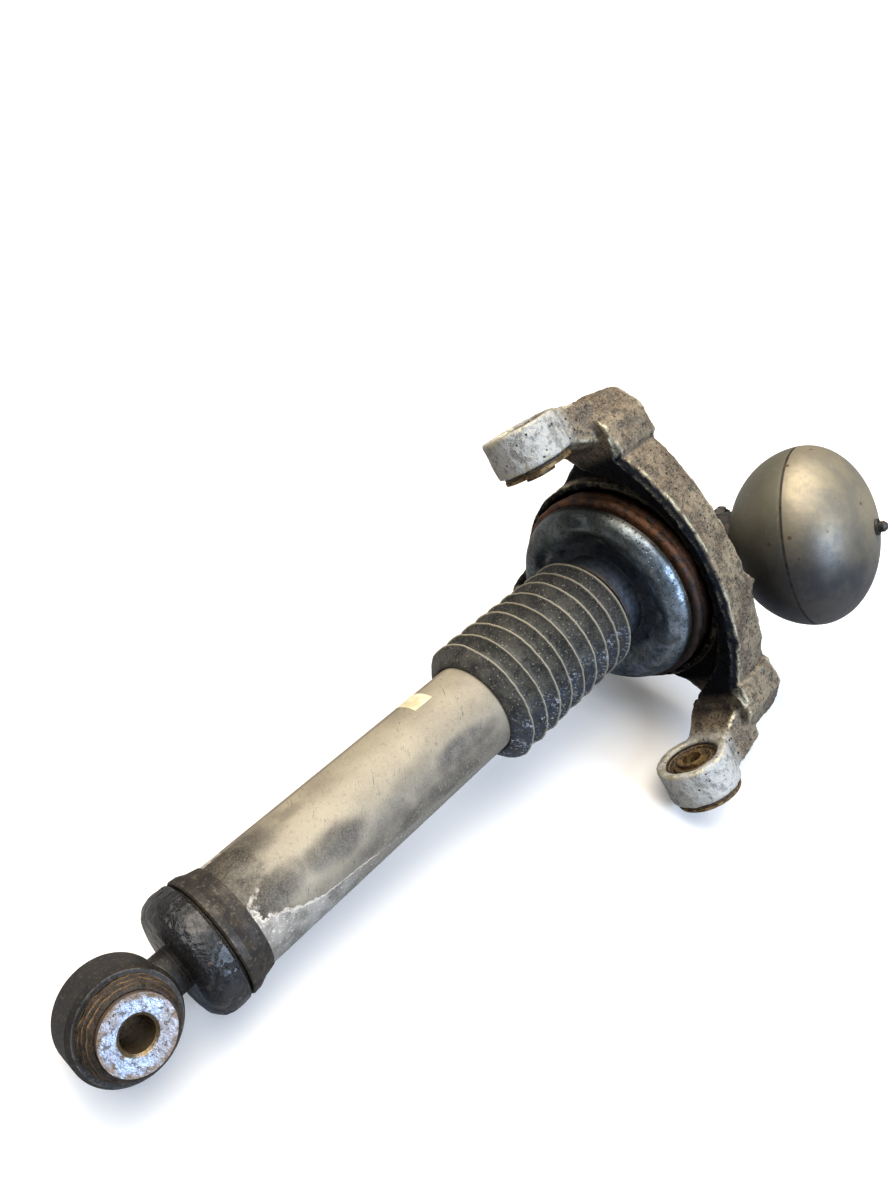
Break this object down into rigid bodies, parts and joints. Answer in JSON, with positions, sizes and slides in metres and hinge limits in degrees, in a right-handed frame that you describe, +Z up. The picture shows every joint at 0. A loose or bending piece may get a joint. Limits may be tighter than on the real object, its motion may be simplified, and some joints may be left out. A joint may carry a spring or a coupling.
{
  "type": "suspension strut",
  "caption": "Telescopic hydraulic suspension strut with bushed lower eye, rubber bellows, cast upper bracket with pivot eyes, and a gas accumulator on its head.",
  "frame": {"origin": "centre of the lower bush's bore", "axes": "+Z up the strut's axis towards the head; the lower bore lies along Y and the upper pivot eyes' axis is parallel to X; -Y is the side of the bracket's front wall"},
  "size_m": [0.2553, 0.2382, 0.5533],
  "materials": {
    "cast_aluminium": "rough cast, weathered",
    "tube_aluminium": "dull, stained",
    "black_paint": "greasy black",
    "rubber_black": "dusty",
    "rubber_brown": "aged natural rubber",
    "foam": "cellular",
    "zinc": "zinc plated, spotted",
    "steel": "machined",
    "chrome_rod": "hard chrome",
    "sphere_paint": "satin dark grey",
    "ptfe": "bronze filled",
    "button": "moulded",
    "paper": "worn paper"
  },
  "bodies": {
    "bracket": {"upper_bracket": "cast_aluminium", "isolator_ring": "rubber_brown", "rebound_cushion": "rubber_black", "left_pivot_shell": "steel", "left_pivot_rubber": "rubber_black", "right_pivot_shell": "steel", "right_pivot_rubber": "rubber_black"},
    "left_pivot": {"left_pivot_sleeve": "zinc"},
    "right_pivot": {"right_pivot_sleeve": "zinc"},
    "rod": {"piston_rod": "chrome_rod", "piston_nut": "steel", "rebound_stop": "steel", "bump_stop": "foam", "bellows": "rubber_black", "bellows_top_clip": "zinc", "mount_cup": "zinc", "core_spool": "steel", "rebound_washer": "zinc", "head_block": "steel", "hose_union": "steel", "bleed_screw": "steel", "sphere_neck": "steel", "neck_seal": "rubber_black", "damper_valve": "steel", "shim_stack": "steel", "valve_rivet": "steel", "sphere_fluid_shell": "sphere_paint", "sphere_gas_shell": "sphere_paint", "sphere_weld": "sphere_paint", "sphere_fill_plug": "steel", "diaphragm_clamp": "steel", "diaphragm": "rubber_black"},
    "diaphragm_plate": {"diaphragm_button": "button"},
    "piston": {"piston": "steel", "piston_band": "ptfe"},
    "cylinder": {"cylinder_tube": "tube_aluminium", "base_cap": "black_paint", "base_ring": "black_paint", "tube_label": "paper", "lower_eye": "black_paint", "lower_bush_shell": "steel", "lower_bush_rubber": "rubber_black", "rod_guide": "steel", "rod_seal": "rubber_black", "wiper_seal": "rubber_black", "guide_seal": "rubber_black", "guide_retainer": "steel"},
    "lower_sleeve": {"lower_bush_sleeve": "zinc"}
  },
  "joints": [
    {"name": "mount_tilt", "type": "hinge", "parent": "bracket", "child": "rod", "pos_m": [0, 0, 0.372], "axis": [1, 0, 0], "range_deg": [-2, 2], "stiffness_Nm_per_rad": 500, "deforming": ["isolator_ring", "rebound_cushion"]},
    {"name": "left_pivot_twist", "type": "hinge", "parent": "bracket", "child": "left_pivot", "pos_m": [-0.1125, -0.0375, 0.3252], "axis": [1, 0, 0], "range_deg": [-25, 25], "stiffness_Nm_per_rad": 0.2},
    {"name": "right_pivot_twist", "type": "hinge", "parent": "bracket", "child": "right_pivot", "pos_m": [0.1125, -0.0375, 0.3252], "axis": [1, 0, 0], "range_deg": [-25, 25], "stiffness_Nm_per_rad": 0.2},
    {"name": "rod_swivel", "type": "hinge", "parent": "rod", "child": "piston", "pos_m": [0, 0, 0.186], "axis": [0, 0, 1], "range_deg": [-30, 30], "stiffness_Nm_per_rad": 0.5},
    {"name": "stroke", "type": "slide", "parent": "piston", "child": "cylinder", "axis": [0, 0, 1], "range_m": [0, 0.075], "stiffness_N_per_m": 1000, "springref_m": -0.05, "deforming": ["bellows"]},
    {"name": "lower_bush_twist", "type": "hinge", "parent": "cylinder", "child": "lower_sleeve", "pos_m": [0, 0, 0], "axis": [0, 1, 0], "range_deg": [-15, 15], "stiffness_Nm_per_rad": 2},
    {"name": "diaphragm_travel", "type": "slide", "parent": "rod", "child": "diaphragm_plate", "axis": [0.1866, -0.9602, 0.2079], "range_m": [0, 0.012], "deforming": ["diaphragm"]}
  ],
  "couplings": [
    {"joint": "diaphragm_travel", "follows": "stroke", "ratio": 0.16}
  ]
}
